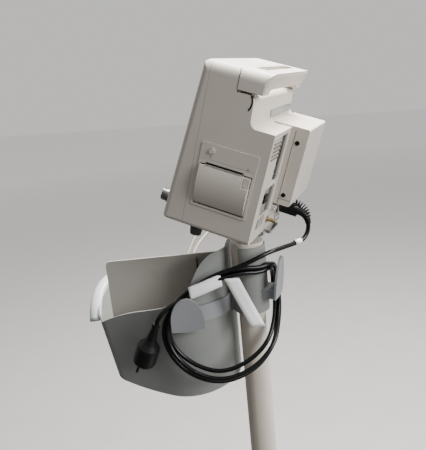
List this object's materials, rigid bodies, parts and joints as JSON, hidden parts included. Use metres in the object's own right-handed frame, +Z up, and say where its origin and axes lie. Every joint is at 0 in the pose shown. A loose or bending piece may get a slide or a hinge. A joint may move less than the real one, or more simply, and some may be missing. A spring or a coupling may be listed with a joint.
{
  "type": "portable diagnostic console on roll stand",
  "caption": "Tilting diagnostic console with display, side thermal printer and carry handle on a wheeled pole stand with basket and cord hooks.",
  "frame": {"origin": "floor level under the axis of the pole, at the middle of the wheeled base", "axes": "+Z up along the pole, -Y towards the user and the display side, +X towards the printer side"},
  "size_m": [0.508, 0.598, 1.2746],
  "materials": {
    "console_shell": "fine moulded texture, warm white",
    "console_trim": "satin moulded plastic, warm white",
    "grey_trim": "fine moulded texture",
    "panel_dark": "satin moulded plastic",
    "connector_black": "satin",
    "screen_glass": "clear, glossy",
    "display": "dark, glossy",
    "circuit_board": "solder-mask green",
    "sheet_steel": "plated sheet",
    "battery": "satin",
    "paper": "thermal paper, smooth",
    "rubber": "matt",
    "bright_metal": "polished",
    "brass": "turned",
    "pole_paint": "powder coat, beige",
    "base_paint": "powder coat, beige grey",
    "hook_grey": "fine moulded texture",
    "basket_grey": "fine moulded texture, olive grey",
    "caster_grey": "satin",
    "cord_black": "glossy jacket",
    "label_white": "paper label, blank",
    "lead_cream": "smooth jacket, cream",
    "card": "laminated card"
  },
  "bodies": {
    "stand": {"base": "base_paint", "pole": "pole_paint", "pole_neck": "pole_paint", "tilt_yoke": "pole_paint", "hook_collar": "hook_grey", "rear_cord_hook": "hook_grey", "side_cord_hook": "hook_grey", "basket": "basket_grey", "mains_cord_drop": "cord_black", "mains_cord_coil": "cord_black", "mains_cord_tail": "cord_black", "mains_plug": "cord_black", "cord_labels": "label_white", "lead_cable_1": "lead_cream", "lead_cable_2": "lead_cream", "lead_coil_1": "lead_cream", "lead_coil_2": "lead_cream", "probe_1": "lead_cream", "probe_2": "lead_cream"},
    "head": {"front_bezel": "console_shell", "rear_housing": "console_shell", "carry_handle": "console_trim", "handle_caps": "console_shell", "grip_strip": "grey_trim", "module_cover": "console_shell", "module_screws": "sheet_steel", "battery_pack": "battery", "io_panel": "grey_trim", "io_connectors": "connector_black", "screen_glass": "screen_glass", "lcd_panel": "display", "main_board": "circuit_board", "inner_chassis": "sheet_steel", "printer_frame": "grey_trim", "print_head": "connector_black", "ac_inlet": "connector_black", "equipotential_post": "brass", "lead_sockets": "panel_dark", "lead_plugs": "lead_cream", "mount_plate": "sheet_steel", "rubber_feet": "rubber", "mains_connector": "cord_black"},
    "printer_door": {"printer_door": "console_shell"},
    "platen_roller": {"platen_roller": "rubber"},
    "paper_roll": {"paper_roll": "paper"},
    "door_latch": {"door_latch": "grey_trim"},
    "feed_button": {"feed_button": "grey_trim"},
    "power_button": {"power_button": "grey_trim"},
    "front_knob": {"front_knob": "panel_dark"},
    "cord_bail": {"cord_bail": "bright_metal"},
    "tilt_lever": {"tilt_lever": "console_trim"},
    "reference_card": {"reference_card": "card"},
    "caster_fork_1": {"caster_fork_1": "caster_grey"},
    "caster_wheels_1": {"caster_wheels_1": "rubber"},
    "caster_fork_2": {"caster_fork_2": "caster_grey"},
    "caster_wheels_2": {"caster_wheels_2": "rubber"},
    "caster_fork_3": {"caster_fork_3": "caster_grey"},
    "caster_wheels_3": {"caster_wheels_3": "rubber"},
    "caster_fork_4": {"caster_fork_4": "caster_grey"},
    "caster_wheels_4": {"caster_wheels_4": "rubber"}
  },
  "joints": [
    {"name": "console_tilt", "type": "hinge", "parent": "stand", "child": "head", "pos_m": [0, 0, 0.985], "axis": [1, 0, 0], "range_deg": [-10, 18], "deforming": ["mains_cord_drop", "lead_cable_1", "lead_cable_2"]},
    {"name": "printer_door_hinge", "type": "hinge", "parent": "head", "child": "printer_door", "pos_m": [0.1185, 0.00076, 1.06201], "axis": [0, 0.9485, -0.3168], "range_deg": [0, 75]},
    {"name": "platen_spin", "type": "hinge", "parent": "printer_door", "child": "platen_roller", "pos_m": [0.118, 0.01597, 1.10753], "axis": [0, 0.9485, -0.3168], "continuous": true},
    {"name": "paper_spin", "type": "hinge", "parent": "head", "child": "paper_roll", "pos_m": [0.088, 0.00599, 1.08556], "axis": [0, 0.9485, -0.3168], "continuous": true},
    {"name": "latch_slide", "type": "slide", "parent": "head", "child": "door_latch", "axis": [-1, 0, 0], "range_m": [0, 0.002], "stiffness_N_per_m": 300},
    {"name": "feed_press", "type": "slide", "parent": "head", "child": "feed_button", "axis": [-1, 0, 0], "range_m": [0, 0.001], "stiffness_N_per_m": 300},
    {"name": "power_press", "type": "slide", "parent": "head", "child": "power_button", "axis": [0, 0.9195, -0.3931], "range_m": [0, 0.0015], "stiffness_N_per_m": 400},
    {"name": "knob_turn", "type": "hinge", "parent": "head", "child": "front_knob", "pos_m": [0.099, -0.08596, 1.074], "axis": [0, -0.9195, 0.3931], "continuous": true},
    {"name": "bail_swing", "type": "hinge", "parent": "head", "child": "cord_bail", "pos_m": [0.008, 0.05893, 1.03414], "axis": [1, 0, 0], "range_deg": [-15, 60]},
    {"name": "lever_turn", "type": "hinge", "parent": "head", "child": "tilt_lever", "pos_m": [0, 0, 0.985], "axis": [1, 0, 0], "range_deg": [-35, 0]},
    {"name": "card_lift", "type": "slide", "parent": "stand", "child": "reference_card", "axis": [0, 0, 1], "range_m": [0, 0.06]},
    {"name": "caster_swivel_1", "type": "hinge", "parent": "stand", "child": "caster_fork_1", "pos_m": [0.23, -0.277, 0.1], "axis": [0, 0, 1], "continuous": true},
    {"name": "caster_spin_1", "type": "hinge", "parent": "caster_fork_1", "child": "caster_wheels_1", "pos_m": [0.23, -0.251, 0.04], "axis": [1, 0, 0], "continuous": true},
    {"name": "caster_swivel_2", "type": "hinge", "parent": "stand", "child": "caster_fork_2", "pos_m": [-0.23, -0.277, 0.1], "axis": [0, 0, 1], "continuous": true},
    {"name": "caster_spin_2", "type": "hinge", "parent": "caster_fork_2", "child": "caster_wheels_2", "pos_m": [-0.23, -0.251, 0.04], "axis": [1, 0, 0], "continuous": true},
    {"name": "caster_swivel_3", "type": "hinge", "parent": "stand", "child": "caster_fork_3", "pos_m": [0.23, 0.277, 0.1], "axis": [0, 0, 1], "continuous": true},
    {"name": "caster_spin_3", "type": "hinge", "parent": "caster_fork_3", "child": "caster_wheels_3", "pos_m": [0.23, 0.251, 0.04], "axis": [1, 0, 0], "continuous": true},
    {"name": "caster_swivel_4", "type": "hinge", "parent": "stand", "child": "caster_fork_4", "pos_m": [-0.23, 0.277, 0.1], "axis": [0, 0, 1], "continuous": true},
    {"name": "caster_spin_4", "type": "hinge", "parent": "caster_fork_4", "child": "caster_wheels_4", "pos_m": [-0.23, 0.251, 0.04], "axis": [1, 0, 0], "continuous": true}
  ]
}
